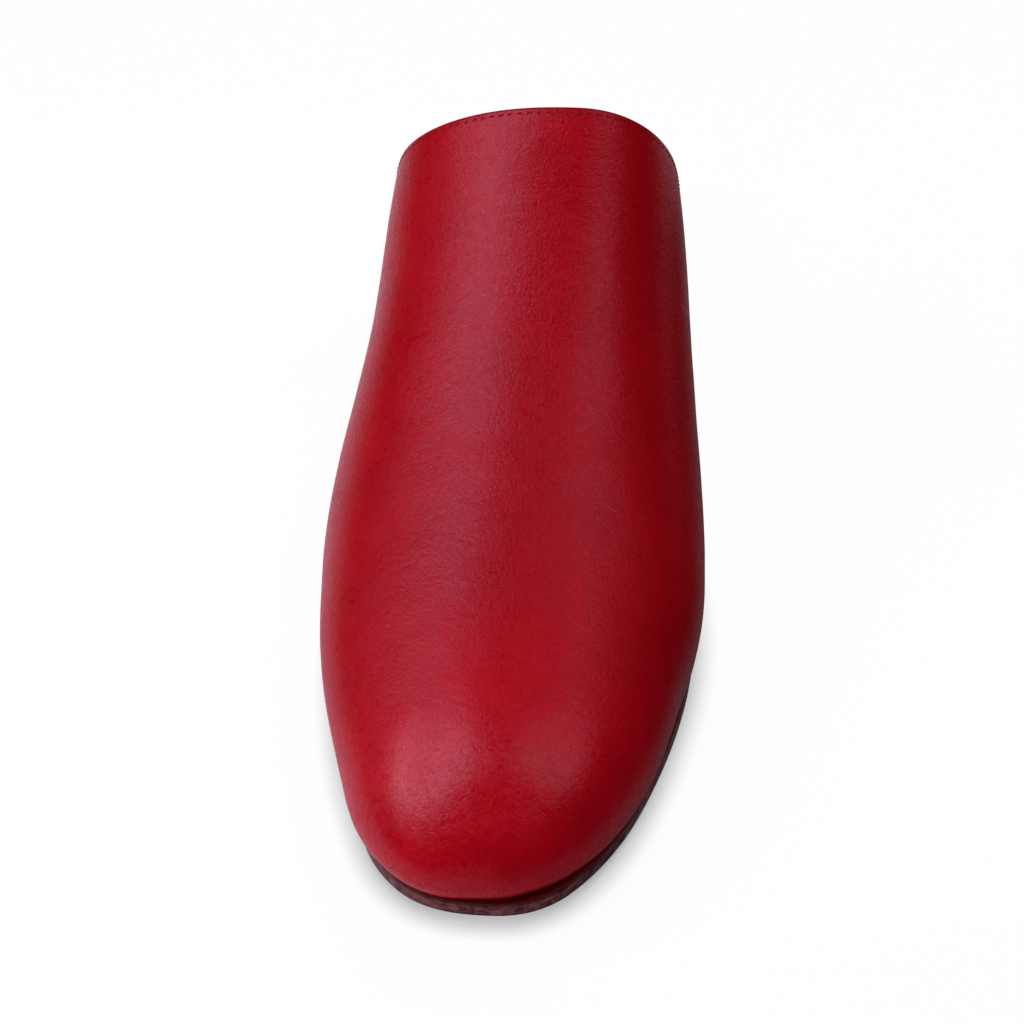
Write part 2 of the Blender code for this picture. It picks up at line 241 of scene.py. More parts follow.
def natural_spline(at, values):
    """The cubic curve through the values, with no bend at its two ends."""
    at, values = np.array(at, float), np.array(values, float)
    gaps = np.diff(at)
    count = len(at)
    system, right = np.eye(count), np.zeros(count)
    for i in range(1, count - 1):
        system[i, i - 1 : i + 2] = gaps[i - 1], 2 * (gaps[i - 1] + gaps[i]), gaps[i]
        right[i] = 6 * ((values[i + 1] - values[i]) / gaps[i] - (values[i] - values[i - 1]) / gaps[i - 1])
    bend = np.linalg.solve(system, right)

    def curve(x):
        i = np.clip(np.searchsorted(at, x) - 1, 0, count - 2)
        gap, after, before = gaps[i], at[i + 1] - x, x - at[i]
        bowed = (bend[i] * after**3 + bend[i + 1] * before**3) / (6 * gap)
        start = (values[i] / gap - bend[i] * gap / 6) * after
        end = (values[i + 1] / gap - bend[i + 1] * gap / 6) * before
        return bowed + start + end

    return curve


STATIONS = [row[0] for row in SECTIONS]
SHAPE = {
    name: natural_spline(STATIONS, [row[i] for row in SECTIONS])
    for i, name in enumerate(SECTION_COLUMNS)
}


def ease(t):
    """From 0 to 1 with a level start and end."""
    t = np.clip(t, 0, 1)
    return t * t * (3 - 2 * t)


def end_rounding(distance, radius, power):
    """0 at the very end of a form and 1 from the radius on, along a rounded corner."""
    share = np.clip(1 - distance / radius, 0, 1)
    return (1 - share**power) ** (1 / power)


def along_outline(table):
    """A smooth curve for each side through a table's stations, crowded together at the tip as the outline is."""
    curves = {
        side: natural_spline([math.sqrt(at) for at, _ in rows], [value for _, value in rows])
        for side, rows in table.items()
    }
    return lambda station, side: curves[side](np.sqrt(station))


fullness = along_outline(FULLNESS)
sole_ledge = along_outline(SOLE_LEDGE)


def half_width(station, side):
    """The upper's widest half width, rounded off at the toe and the heel."""
    width = np.where(side > 0, SHAPE["medial"](station), SHAPE["lateral"](station))
    toe = end_rounding(station, TOE_ROUND, TOE_POWER)
    heel = end_rounding(LAST_LENGTH - station, HEEL_ROUND, HEEL_POWER)
    return width * toe * heel


def tuck(station, side):
    """How far the wall comes back in to its foot."""
    return np.where(side > 0, SHAPE["tuck_medial"](station), SHAPE["tuck_lateral"](station))


def outline_normal(station, side):
    """The direction in plan, as x and y, that points out of the widest outline."""
    step = 0.02
    low = np.clip(station - step, 0, LAST_LENGTH)
    high = np.clip(station + step, 0, LAST_LENGTH)
    slope = (half_width(high, side) - half_width(low, side)) / (high - low)
    length = np.hypot(1, slope)
    return side / length, -slope / length


def outline(station, side, inset):
    """Points in plan on the widest outline, moved inwards."""
    out_x, out_y = outline_normal(station, side)
    return np.stack([side * half_width(station, side) - inset * out_x, station - inset * out_y], axis=-1)


def sole_bottom(station):
    """The outsole's underside in side view: toe spring, a flat tread, the waist and the sloping heel seat."""
    station = np.asarray(station, float)
    spring = TOE_SPRING * (np.clip(TREAD_FRONT - station, 0, None) / TREAD_FRONT) ** 2
    seat = HEEL_HEIGHT - SEAT_SLOPE * (LAST_LENGTH - station)
    seat_front = HEEL_HEIGHT - SEAT_SLOPE * (LAST_LENGTH - SEAT_FRONT)
    span = SEAT_FRONT - TREAD_BACK
    t = np.clip((station - TREAD_BACK) / span, 0, 1)
    waist = seat_front * (3 * t**2 - 2 * t**3) + SEAT_SLOPE * span * (t**3 - t**2)
    return np.where(station < TREAD_FRONT, spring, np.where(station > SEAT_FRONT, seat, waist))


def sole_top(station):
    return sole_bottom(station) + SOLE_THICKNESS


def dome_angle(level):
    return np.clip(level - 1, 0, 1) * math.pi / 2


def toe_box(station):
    """The toe box's rounding in side view, eased where it runs into the vamp."""
    starts, ends = TOE_BOX_EASES
    spread = TOE_BOX_EASED * ease((station - starts) / (ends - starts))
    places = [station + share * spread for share in (-1.0, -0.6, -0.2, 0.2, 0.6, 1.0)]
    return np.mean([end_rounding(place, TOE_BOX_ROUND, TOE_BOX_POWER) for place in places], axis=0)


def rise(station, level):
    """Height above the foot. level is 0 at the foot, 1 at the greatest width and 2 at the crest."""
    widest = SHAPE["widest"](station)
    dome = (SHAPE["height"](station) - widest) * toe_box(station)
    return widest * np.clip(level, 0, 1) + dome * np.sin(dome_angle(level)) ** (2 / SHAPE["shoulder"](station))


def skin(station, level, side):
    """Points of the upper's outer face."""
    share = np.clip(np.cos(dome_angle(level)), 0, 1) ** (2 / SHAPE["side"](station))
    crest = SHAPE["crest"](station) * end_rounding(station, TOE_ROUND, TOE_POWER)
    half = half_width(station, side) - side * crest
    pull = tuck(station, side) * np.clip(1 - level, 0, 1) ** 2
    out = fullness(station, side) * share - pull
    out_x, out_y = outline_normal(station, side)
    x = crest + side * half * share + out * out_x
    y = station + out * out_y
    return np.stack([x, y, sole_top(y) + GAP + rise(station, level)], axis=-1)


def skin_grid(rows, wall_steps, dome_steps):
    """The outer face, in rows from the toe to the collar that go from the medial foot over the crest."""
    along = THROAT_STATION * (1 - np.cos(np.linspace(0, math.pi / 2, rows + 1)))
    levels = np.concatenate([np.linspace(0, 1, wall_steps + 1), 1 + np.linspace(0, 1, dome_steps + 1)[1:]])
    lean = np.clip((along - COLLAR_STARTS) / (THROAT_STATION - COLLAR_STARTS), 0, 1)[:, None] ** 2
    station = along[:, None] + 0 * levels
    for _ in range(6):  # a point's height and its station each depend on the other
        down = 1 - rise(station, levels) / rise(along[:, None], 2.0)
        peak = COLLAR_PEAK * ease((levels - PEAK_STARTS) / PEAK_SPAN)
        station = along[:, None] + lean * (COLLAR_SLANT * down + COLLAR_SWOOP * down**3 + peak)
    level = np.broadcast_to(levels, station.shape)
    medial = skin(station, level, MEDIAL)
    lateral = skin(station, level, LATERAL)
    points = np.concatenate([medial, lateral[:, -2::-1]], axis=1)
    points[0, :, 0] = 0.0
    return points


def grid_normals(points):
    """Outward directions at the points of a grid like skin_grid's."""
    across = np.cross(np.gradient(points, axis=0), np.gradient(points, axis=1))
    length = np.linalg.norm(across, axis=2, keepdims=True)
    normals = across / np.maximum(length, 1e-12)
    normals[0] = (0.0, -1.0, 0.0)
    return normals


def shoe_origin():
    """The point, in stations, that is the frame's origin."""
    low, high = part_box("upper")
    stations = np.linspace(0, LAST_LENGTH, 1009)
    across = half_width(stations, MEDIAL).max() - half_width(stations, LATERAL).max()
    return np.array([(across - (low.x + high.x) / MM) / 2, -low.y / MM, 0.0])


ORIGIN = shoe_origin()


# ---------------------------------------------------------------- the leather's own small shape


def crease_depths(points):
    """How far the creases press the vamp in, in millimetres, at points of its outer face."""
    x, station = points[..., 0], points[..., 1]
    crest = SHAPE["crest"](np.clip(station, 0, LAST_LENGTH))
    depth = np.zeros(x.shape)
    for at, place, reach, bow, width, deep in CREASES:
        along = (x - crest - place) / reach
        off = (station - at - bow * along**2) / width
        depth += deep * np.exp(-(off**2)) * ease(1.3 * (1 - np.abs(along)))
    return depth


def hollow_depths(points):
    """How far the broad hollows press the vamp in, in millimetres."""
    station = points[..., 1]
    across = points[..., 0] - SHAPE["crest"](np.clip(station, 0, LAST_LENGTH))
    depth = np.zeros(across.shape)
    for places, spread, reach, *rows in HOLLOWS:
        for at, depths in rows:
            along = np.exp(-(((station - at) / reach) ** 2))
            for place, deep in zip(places, depths):
                depth += deep * along * np.exp(-(((across - place) / spread) ** 2))
    return depth


def shaped_share(points):
    """Fades the leather's own shape out at the toe's tip and at the foot, where it meets the sole."""
    low, high = SHAPED_FROM_FOOT
    toe = ease(points[..., 1] / SHAPED_FROM_TIP)
    foot = ease((points[..., 2] - sole_top(points[..., 1]) - low) / (high - low))
    return toe * foot


def unevenness(points, size, seed):
    """Smooth noise between about -1 and 1 at points in millimetres."""
    shift = Vector((seed * 17.3, seed * 5.1, seed * 11.7))
    flat = points.reshape(-1, 3)
    values = [noise.noise(Vector(point) / size + shift) for point in flat.tolist()]
    return np.array(values).reshape(points.shape[:-1])


def between_points(line, at, where):
    """Points along a line. at says how far along it each of its own points lies, and where is what is asked for."""
    return np.column_stack([np.interp(where, at, line[:, axis]) for axis in range(3)])


def running_length(line):
    """How far along a line each of its points lies."""
    return np.concatenate([[0], np.cumsum(np.linalg.norm(np.diff(line, axis=0), axis=1))])


def finer(line, count):
    """A line's points made more, and the share of its own steps at which each lies."""
    share = np.linspace(0, len(line) - 1, count)
    return between_points(line, np.arange(len(line)), share), share


def collar_distances(points):
    """How far points of the vamp lie from the collar's edge: found for the rows next to it, and FAR for the others."""
    fine, _ = finer(points[-1], 900)
    distances = np.full(points.shape[:2], FAR)
    apart = np.linalg.norm(points[-COLLAR_ROWS:, :, None, :] - fine[None, None, :, :], axis=3)
    distances[-COLLAR_ROWS:] = apart.min(axis=2)
    distances[-1] = 0.0
    return distances


def vamp_surface(sizes):
    """The outer face with its creases and hollows, and its normals and distances from the collar."""
    points = skin_grid(VAMP_ROWS, WALL_STEPS, DOME_STEPS)
    normals = grid_normals(points)
    distances = collar_distances(points)
    groove = STITCH_GROOVE * np.exp(-(((distances - sizes.stitch_inset / MM) / GROOVE_WIDTH) ** 2))
    press = crease_depths(points) * sizes.crease_strength + hollow_depths(points) + groove
    waves = sum(depth * unevenness(points, size, seed) for depth, size, seed in WAVES)
    moved = points - normals * ((press + waves) * shaped_share(points))[..., None]
    return moved, grid_normals(moved), distances


# ---------------------------------------------------------------- meshes


def strip(mesh, first, second):
    """Faces between two rows of vertices of the same length."""
    for i in range(len(first) - 1):
        mesh.faces.new((first[i], first[i + 1], second[i + 1], second[i]))


def add_vertices(mesh, points):
    placed = (np.asarray(points, float) - ORIGIN) * MM
    return [mesh.verts.new(point) for point in placed]


def finish_piece(name, mesh, material, nodes):
    """Makes a piece of a bmesh: closed, facing out and smooth, riding on the shoe and standing for CAD nodes."""
    bmesh.ops.remove_doubles(mesh, verts=mesh.verts, dist=SAME_POINT * MM)
    bmesh.ops.recalc_face_normals(mesh, faces=mesh.faces)
    data = bpy.data.meshes.new(name)
    mesh.to_mesh(data)
    mesh.free()
    data.shade_smooth()
    data.set_sharp_from_angle(angle=SMOOTH_BELOW)
    data.materials.append(material)
    piece = bpy.data.objects.new(name, data)
    bpy.context.scene.collection.objects.link(piece)
    return declare_piece(piece, nodes)


def declare_piece(piece, nodes):
    """Hangs the piece on the body's empty, which it rides on, and hides the CAD nodes that it stands for."""
    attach(piece, BODY)
    if nodes:
        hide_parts(*nodes)
    return piece


def sheet_rows(outer, normals, thickness, edge_round):
    """Rows over a sheet's outer face, round its edge at the collar, and back along its inner face."""
    onward = outer[-1] - outer[-2]
    onward /= np.linalg.norm(onward, axis=1, keepdims=True)
    normal = normals[-1]
    inner = outer - thickness * normals
    inner[:, (0, -1), 2] = outer[:, (0, -1), 2]
    start = outer[-1] - edge_round * onward
    inner_start = inner[-1] - edge_round * onward
    turn = np.linspace(0, math.pi / 2, ARC_STEPS + 1)[1:]
    arc = [start + edge_round * (math.sin(a) * onward - (1 - math.cos(a)) * normal) for a in turn]
    inner_arc = [inner_start + edge_round * (math.sin(a) * onward + (1 - math.cos(a)) * normal) for a in turn]
    return [*outer[:-1], start, *arc, *inner_arc[::-1], inner_start, *inner[-2::-1]]


def sheet_mesh(rows):
    """A sheet of leather folded round from its outer face to its inner one, closed along its foot and at the toe."""
    mesh = bmesh.new()
    made = [add_vertices(mesh, row) for row in rows]
    for first, second in zip(made, made[1:]):
        strip(mesh, first, second)
    half = len(made) // 2
    for column in (0, -1):
        outer_foot = [row[column] for row in made[:half]]
        inner_foot = [row[column] for row in made[::-1][:half]]
        strip(mesh, outer_foot, inner_foot)
    return mesh


def point_attribute(data, name, values, kind="FLOAT"):
    """Stores a number or a vector at each vertex."""
    attribute = data.attributes.new(name, kind, "POINT")
    key = "value" if kind == "FLOAT" else "vector"
    attribute.data.foreach_set(key, np.asarray(values, np.float32).ravel())


def vertex_places(data):
    """The vertices' places in millimetres, in stations."""
    places = np.empty(len(data.vertices) * 3)
    data.vertices.foreach_get("co", places)
    return places.reshape(-1, 3) / MM + ORIGIN


def collar_attributes(data, edge):
    """Gives the leather the distance from the collar's edge and how far along it each vertex lies, both in mm."""
    places = vertex_places(data)
    fine, share = finer(edge, 1500)
    fine_run = np.interp(share, np.arange(len(edge)), running_length(edge))
    away, along = np.full(len(places), FAR), np.zeros(len(places))
    near = np.flatnonzero(places[:, 1] > edge[:, 1].min() - COLLAR_REACH)
    for block in np.array_split(near, 60):  # in parts, to spare memory
        apart = np.linalg.norm(places[block, None, :] - fine[None, :, :], axis=2)
        nearest = apart.argmin(axis=1)
        away[block] = apart[np.arange(len(block)), nearest]
        along[block] = fine_run[nearest]
    point_attribute(data, "collar_distance", away)
    point_attribute(data, "collar_run", along)


def slab_side(top_round, bottom_round):
    """Down a slab's side: insets, shares of the way from its top face to its bottom one, and height offsets."""
    turns = np.linspace(0, math.pi / 2, ARC_STEPS + 1)
    above = [(top_round * (1 - math.sin(a)), 0.0, -top_round * (1 - math.cos(a))) for a in turns]
    below = [(bottom_round * (1 - math.cos(a)), 1.0, bottom_round * (1 - math.sin(a))) for a in turns]
    return [*above, (0.0, 0.5, 0.0), *below]


def slab_mesh(inset, top, bottom, side_profile):
    """A sole-shaped slab with rounded edges. inset, top and bottom are functions of the station."""
    stations = LAST_LENGTH / 2 * (1 - np.cos(np.linspace(0, math.pi, PLATE_STATIONS + 1)))
    sides = {}
    for side in (MEDIAL, LATERAL):
        levels = []
        for extra, share, offset in side_profile:
            plan = outline(stations, side, inset(stations, side) + extra)
            plan[[0, -1], 0] = 0.0
            high, low = top(plan[:, 1], 0.0), bottom(plan[:, 1], 0.0)
            levels.append(np.column_stack([plan, high + (low - high) * share + offset]))
        sides[side] = np.stack(levels, axis=1)
    share = np.linspace(0, 1, PLATE_COLUMNS + 1)
    middle = 1 - np.abs(2 * share - 1)
    mesh = bmesh.new()
    loops = []
    for medial, lateral in zip(sides[MEDIAL], sides[LATERAL]):
        faces = []
        for start, end, height in ((medial[0], lateral[0], top), (lateral[-1], medial[-1], bottom)):
            plan = start[:2] + (end[:2] - start[:2]) * share[:, None]
            faces.append(np.column_stack([plan, height(plan[:, 1], middle)]))
        loop = np.concatenate([faces[0], lateral[1:-1], faces[1], medial[-2:0:-1]])
        loops.append(add_vertices(mesh, loop))
    for first, second in zip(loops, loops[1:]):
        strip(mesh, [*first, first[0]], [*second, second[0]])
    return mesh


def outsole_inset(station, side):
    """From a ledge round the tip to close beside the forefoot."""
    return tuck(station, side) - sole_ledge(station, side)


def insole_inset(station, side):
    """Inside the wall under the vamp, and out almost to the upper's line behind it."""
    starts, ends = INSOLE_SPREADS
    past_collar = station - (THROAT_STATION + COLLAR_SLANT + COLLAR_SWOOP)
    behind = ease((past_collar - starts) / (ends - starts))
    within = WALL + GAP
    return tuck(station, side) + within + (INSOLE_INSET_BEHIND - within) * behind - fullness(station, side)


def insole_top(station, middle):
    """Flat under the forefoot, and dished a little under the heel bone."""
    back = ease((station - DISH_STARTS) / (DISH_FULL - DISH_STARTS))
    dish = HEEL_DISH * np.sin(middle * math.pi / 2) ** 2 * back
    return sole_top(station) + GAP + INSOLE_THICKNESS - dish


def heel_ring(inset, breast_back):
    """The heel's outline in plan, round the back and along the hollow breast, moved inwards."""
    turn = np.linspace(0, math.pi / 2, HEEL_STATIONS + 1)
    breast = BREAST_STATION + breast_back
    stations = breast + (LAST_LENGTH - breast) * np.sin(turn)
    medial = outline(stations, MEDIAL, outsole_inset(stations, MEDIAL) + inset)
    lateral = outline(stations, LATERAL, outsole_inset(stations, LATERAL) + inset)
    medial[-1, 0] = 0.0
    share = np.linspace(0, 1, BREAST_STEPS + 1)[1:-1, None]
    front = lateral[0] + (medial[0] - lateral[0]) * share
    front[:, 1:] += BREAST_HOLLOW * 4 * share * (1 - share)
    return np.concatenate([medial, lateral[-2::-1], front])


def block_mesh(rings):
    """A solid between stacked rings of points, closed at the top and the bottom."""
    mesh = bmesh.new()
    levels = [add_vertices(mesh, ring) for ring in rings]
    for upper_ring, lower_ring in zip(levels, levels[1:]):
        strip(mesh, [*upper_ring, upper_ring[0]], [*lower_ring, lower_ring[0]])
    mesh.faces.new(levels[0])
    mesh.faces.new(levels[-1])
    return mesh


# ---------------------------------------------------------------- shader maths


class Value:
    """A number that a node gives. Arithmetic with it adds Math nodes."""

    def __init__(self, graph, socket):
        self.graph = graph
        self.socket = socket

    def __add__(self, other):
        return self.graph.math("ADD", self, other)

    def __sub__(self, other):
        return self.graph.math("SUBTRACT", self, other)

    def __rsub__(self, other):
        return self.graph.math("SUBTRACT", other, self)

    def __mul__(self, other):
        return self.graph.math("MULTIPLY", self, other)

    def __truediv__(self, other):
        return self.graph.math("DIVIDE", self, other)

    def __rtruediv__(self, other):
        return self.graph.math("DIVIDE", other, self)

    __radd__ = __add__
    __rmul__ = __mul__

    def between(self, start, end):
        """0 up to start and 1 from end, eased between them. It runs the other way where start is the larger."""
        values = {"Value": self, "From Min": start, "From Max": end}
        return self.graph.node("ShaderNodeMapRange", {"interpolation_type": "SMOOTHSTEP"}, values, "Result")

    def least(self, other):
        return self.graph.math("MINIMUM", self, other)


def named(sockets, identifier):
    """The socket that has this identifier."""
    return next(socket for socket in sockets if socket.identifier == identifier)


class Graph:
    """The nodes of one material, world or Geometry Nodes tree."""

    def __init__(self, tree):
        self.tree = tree
        tree.nodes.clear()

    def node(self, kind, settings, values, output):
        """Adds a node: its own settings first, then the values or links of its sockets, by their identifiers.

        output is the identifier of the socket that is wanted, 0 for the first, or None for the node itself.
        """
        node = self.tree.nodes.new(kind)
        for name, value in settings.items():
            setattr(node, name, value)
        for identifier, value in values.items():
            self.fill(named(node.inputs, identifier), value)
        if output is None:
            return node
        return self.wrapped(node.outputs[0] if output == 0 else named(node.outputs, output))

    def wrapped(self, socket):
        return Value(self, socket) if socket.type == "VALUE" else socket

    def fill(self, socket, value):
        if isinstance(value, Value):
            self.tree.links.new(value.socket, socket)
        elif isinstance(value, bpy.types.NodeSocket):
            self.tree.links.new(value, socket)
        else:
            socket.default_value = value

    def math(self, operation, *values):
        names = ("Value", "Value_001")
        return self.node("ShaderNodeMath", {"operation": operation}, dict(zip(names, values)), "Value")

    def stretched(self, place, x, y, z):
        values = {"Vector": place, "Vector_001": (x, y, z)}
        return self.node("ShaderNodeVectorMath", {"operation": "MULTIPLY"}, values, "Vector")

    def mix(self, share, first, second, blend="MIX"):
        """Goes from the first colour to the second."""
        values = {"Factor_Float": share, "A_Color": first, "B_Color": second}
        return self.node("ShaderNodeMix", {"data_type": "RGBA", "blend_type": blend}, values, "Result_Color")

    def millimetres(self):
        """The place on the object, in millimetres."""
        return self.stretched(self.node("ShaderNodeTexCoord", {}, {}, "Object"), 1 / MM, 1 / MM, 1 / MM)

    def noise(self, place, size, detail=2.0, roughness=0.5, distortion=0.0):
        """Soft noise about 0.5, whose features are about size across."""
        values = {"Vector": place, "Scale": 1 / size, "Detail": detail}
        values |= {"Roughness": roughness, "Distortion": distortion}
        return self.node("ShaderNodeTexNoise", {}, values, "Fac")

    def cells(self, place, size, feature="F1"):
        """Distance within cells of about that size, as a share of it."""
        values = {"Vector": place, "Scale": 1 / size, "Randomness": 1.0}
        return self.node("ShaderNodeTexVoronoi", {"feature": feature}, values, "Distance")

    def attribute(self, name, output="Fac"):
        return self.node("ShaderNodeAttribute", {"attribute_name": name}, {}, output)

    def axes(self, vector):
        """A vector's three numbers."""
        split = self.node("ShaderNodeSeparateXYZ", {}, {"Vector": vector}, None)
        return [Value(self, socket) for socket in split.outputs]

    def bump(self, height):
        """A normal from heights in millimetres."""
        return self.node("ShaderNodeBump", {}, {"Strength": 1.0, "Distance": MM, "Height": height}, "Normal")

    def surface(self, **values):
        """Ends the material in a Principled shader. Spaces in a socket's name are written as underscores."""
        sockets = {name.replace("_", " "): value for name, value in values.items()}
        shader = self.node("ShaderNodeBsdfPrincipled", {}, sockets, "BSDF")
        self.node("ShaderNodeOutputMaterial", {}, {"Surface": shader}, None)


def new_material(name):
    """A material with an empty tree."""
    material = bpy.data.materials.new(name)
    material.use_nodes = True
    return material, Graph(material.node_tree)


def shade(colour, factor):
    """A colour made lighter or darker, with its alpha kept."""
    return (*(min(1.0, part * factor) for part in colour[:3]), 1.0)


# ---------------------------------------------------------------- materials


def red_calf(colours, sizes):
    """Smooth dyed calf: an uneven dye, pores, faint transverse wrinkles, a waxed toe and a painted edge, with painted
    light: the toe is painted lighter and bluer, and painted shade lies round each stitch.
    """
    material, g = new_material("red_calf")
    place = g.millimetres()
    cloud = g.noise(place, 24.0, 3.0, 0.5)
    fleck = g.noise(place, 5.0, 4.0, 0.6)
    grain = g.noise(place, 0.9, 2.0, 0.5)
    mottle = g.noise(place, 1.9, 2.0, 0.55)
    pores = g.cells(place, 0.75).between(0.42, 0.10)
    pebble = g.cells(place, 1.1, "DISTANCE_TO_EDGE").between(0.0, 0.16)
    wrinkles = g.noise(g.stretched(place, 0.16, 1.0, 1.0), 1.2, 3.0, 0.6, 0.4)
    patches = g.noise(place, 14.0, 1.0, 0.4).between(0.50, 0.66)
    across, length, _ = g.axes(place)
    folds = across.between(4.0, 14.0) * across.between(34.0, 24.0) * length.between(-45.0, -20.0)

    depth = 0.5 + 0.9 * (cloud - 0.5) + 0.5 * (fleck - 0.5) + 0.35 * (grain - 0.5)
    dyed = g.mix(depth.between(0.1, 0.9), tuple(colours.leather_deep), tuple(colours.leather))
    dyed = g.mix(pores * 0.2, dyed, shade(colours.leather_deep, 0.5))
    # Painted light and painted highlight: the colour is made lighter and bluer towards the toe, where the light falls
    # stronger and the highlights are pink. From here on dyed carries this painted light as well as the dye.
    dyed = g.mix(length.between(-50.0, -106.0), dyed, (1.30, 1.3, 1.75, 1.0), "MULTIPLY")

    edge = g.attribute("collar_distance")
    painted = edge.between(0.6, 0.3)
    dyed = g.mix(painted, dyed, tuple(colours.painted_edge))

    pitch = sizes.stitch_pitch / MM
    run = g.attribute("collar_run") / pitch
    from_hole = g.math("ABSOLUTE", g.math("FRACT", run) - 0.5) * pitch
    from_line = edge - sizes.stitch_inset / MM
    stitch_pit_and_shade = g.math("SQRT", from_hole * from_hole + from_line * from_line).between(0.45, 0.15)  # about each stitch
    # Painted shade: the leather round each stitch is painted darker where the thread dives in; the same mask also sinks
    # a real pit in the bump below.
    dyed = g.mix(stitch_pit_and_shade * 0.35, dyed, shade(colours.leather_deep, 0.3))

    flexed = length.between(20.0, -60.0) - length.between(-80.0, -110.0)
    roughness = 0.31 + 0.03 * flexed
    roughness = roughness + 0.12 * (fleck - 0.5) + 0.08 * (cloud - 0.5) + 0.10 * pores
    roughness = roughness + 0.32 * (grain - 0.5) + 0.24 * (mottle - 0.5)
    toe = length.between(-86.0, -108.0)
    waxed = toe * toe * (3 - 2 * toe)
    rubbed = 0.20 + 0.75 * (grain - 0.5) + 0.55 * (mottle - 0.5) + 0.3 * (fleck - 0.5)
    height = (
        0.020 * pebble
        - 0.010 * pores
        + 0.048 * grain
        + 0.090 * mottle
        + 0.045 * (wrinkles * patches)
        + 0.060 * (wrinkles * folds)
        + 0.05 * fleck
        + 0.12 * g.noise(place, 9.0, 1.0, 0.4)
        - 0.08 * stitch_pit_and_shade
    )
    g.surface(
        Base_Color=dyed,
        Roughness=roughness - 0.08 * painted,
        Specular_IOR_Level=0.21,
        Specular_Tint=(1.0, 0.74, 1.0, 1.0),
        Coat_Weight=waxed * rubbed.between(0.0, 0.6) * 0.5,
        Coat_Roughness=0.34,
        Coat_Tint=(1.0, 0.93, 0.98, 1.0),
        Normal=g.bump(height),
    )
    return material


def soft_lining(name, colour, deep, pore_size):
    """Undyed or lightly dyed lining leather: matt, with fine pores and slow changes of tone."""
    material, g = new_material(name)
    place = g.millimetres()
    cloud = g.noise(place, 18.0, 4.0, 0.55)
    fleck = g.noise(place, 2.4, 3.0, 0.6)
    pores = g.cells(place, pore_size).between(0.32, 0.08)
    tone = (0.5 + 1.1 * (cloud - 0.5) + 0.5 * (fleck - 0.5)).between(0.05, 0.95)
    tanned = g.mix(tone, deep, colour)
    tanned = g.mix(pores * 0.5, tanned, shade(deep, 0.55))
    height = 0.03 * fleck - 0.03 * pores + 0.06 * g.noise(place, 6.0, 2.0)
    g.surface(
        Base_Color=tanned,
        Roughness=0.58 + 0.16 * (fleck - 0.5) + 0.06 * pores,
        Specular_IOR_Level=0.3,
        Normal=g.bump(height),
    )
    return material


def burnished_sole(colours):
    """Dyed sole leather: an edge rubbed pale in places with painted shade along its bottom and top, a dark red line of
    painted shade on its top face under the upper, and a smoother, slightly scuffed tread face.
    """
    material, g = new_material("burnished_sole")
    place = g.millimetres()
    _, _, facing = g.axes(g.node("ShaderNodeNewGeometry", {}, {}, "Normal"))
    underside = facing.between(-0.75, -0.9)
    fibres = g.noise(g.stretched(place, 0.35, 0.35, 3.0), 1.6, 4.0, 0.6)
    blots = g.noise(place, 2.6, 3.0, 0.6)
    cloud = g.noise(place, 15.0, 3.0, 0.55)
    scuffs = g.noise(g.stretched(place, 1.0, 0.18, 1.0), 2.2, 4.0, 0.65, 0.5).between(0.55, 0.8)
    tone = (0.5 + 0.9 * (cloud - 0.5) + 0.9 * (fibres - 0.5)).between(0.1, 0.9)
    worn = (0.5 + 1.6 * (blots - 0.5) + 1.2 * (fibres - 0.5) + 0.6 * (cloud - 0.5)).between(0.1, 0.9)
    edge = g.mix(worn, shade(colours.sole, 0.9), tuple(colours.sole_worn))
    risen = g.attribute("edge_height")
    # Painted shade: the edge is painted darker along its bottom, next to the floor, and along its top, under the upper,
    # where the rounded edge turns from the light.
    arris_shade = risen.between(1.3, 0.3) + risen.between(SOLE_THICKNESS - 1.5, SOLE_THICKNESS - 0.9)
    edge = g.mix(arris_shade * 0.75, edge, shade(colours.sole, 0.4))
    # Painted shade: a dark red line on the sole's top face, standing for the shade in the gap under the upper.
    edge = g.mix(risen.between(SOLE_THICKNESS - 0.6, SOLE_THICKNESS - 0.2), edge, tuple(colours.welt))
    tread = g.mix(tone, tuple(colours.sole), shade(colours.sole, 1.9))
    tread = g.mix(scuffs * 0.25, tread, shade(colours.sole, 3.2))
    height = 0.05 * fibres + 0.07 * blots + 0.05 * g.noise(place, 4.0, 3.0) - 0.02 * scuffs
    g.surface(
        Base_Color=g.mix(underside, edge, tread),
        Roughness=0.42 + 0.16 * (fibres - 0.5) + 0.14 * underside + 0.1 * scuffs,
        Specular_IOR_Level=0.3,
        Specular_Tint=(1.0, 0.55, 0.55, 1.0),
        Normal=g.bump(height),
    )
    return material


def stacked_leather(colours, sizes):
    """Layers of sole leather laid on each other, trimmed and burnished: each lift has its own tone and a fine joint."""
    material, g = new_material("stacked_leather")
    place = g.millimetres()
    _, _, up = g.axes(place)
    wander = 0.12 * (g.noise(place, 14.0, 1.0) - 0.5)
    level = (up - TOP_LIFT_THICKNESS) / (sizes.lift_thickness / MM) + wander
    layer = g.math("FLOOR", level)
    within = g.math("FRACT", level)
    joint = (within.least(1 - within)).between(0.10, 0.02)
    own_tone = g.node("ShaderNodeTexWhiteNoise", {"noise_dimensions": "1D"}, {"W": layer + 0.37}, "Value")
    fibres = g.noise(g.stretched(place, 0.3, 0.3, 3.2), 1.4, 4.0, 0.65)
    cloud = g.noise(place, 12.0, 3.0, 0.55)
    tone = (0.5 + 0.5 * (own_tone - 0.5) + 0.7 * (fibres - 0.5) + 0.6 * (cloud - 0.5)).between(0.0, 1.0)
    brown = g.mix(tone, shade(colours.heel, 0.6), shade(colours.heel, 1.5))
    brown = g.mix(joint * 0.75, brown, shade(colours.heel, 0.25))
    g.surface(
        Base_Color=brown,
        Roughness=0.38 + 0.2 * (fibres - 0.5) + 0.2 * joint,
        Specular_IOR_Level=0.4,
        Normal=g.bump(0.03 * fibres - 0.09 * joint + 0.03 * g.noise(place, 3.0, 2.0)),
    )
    return material


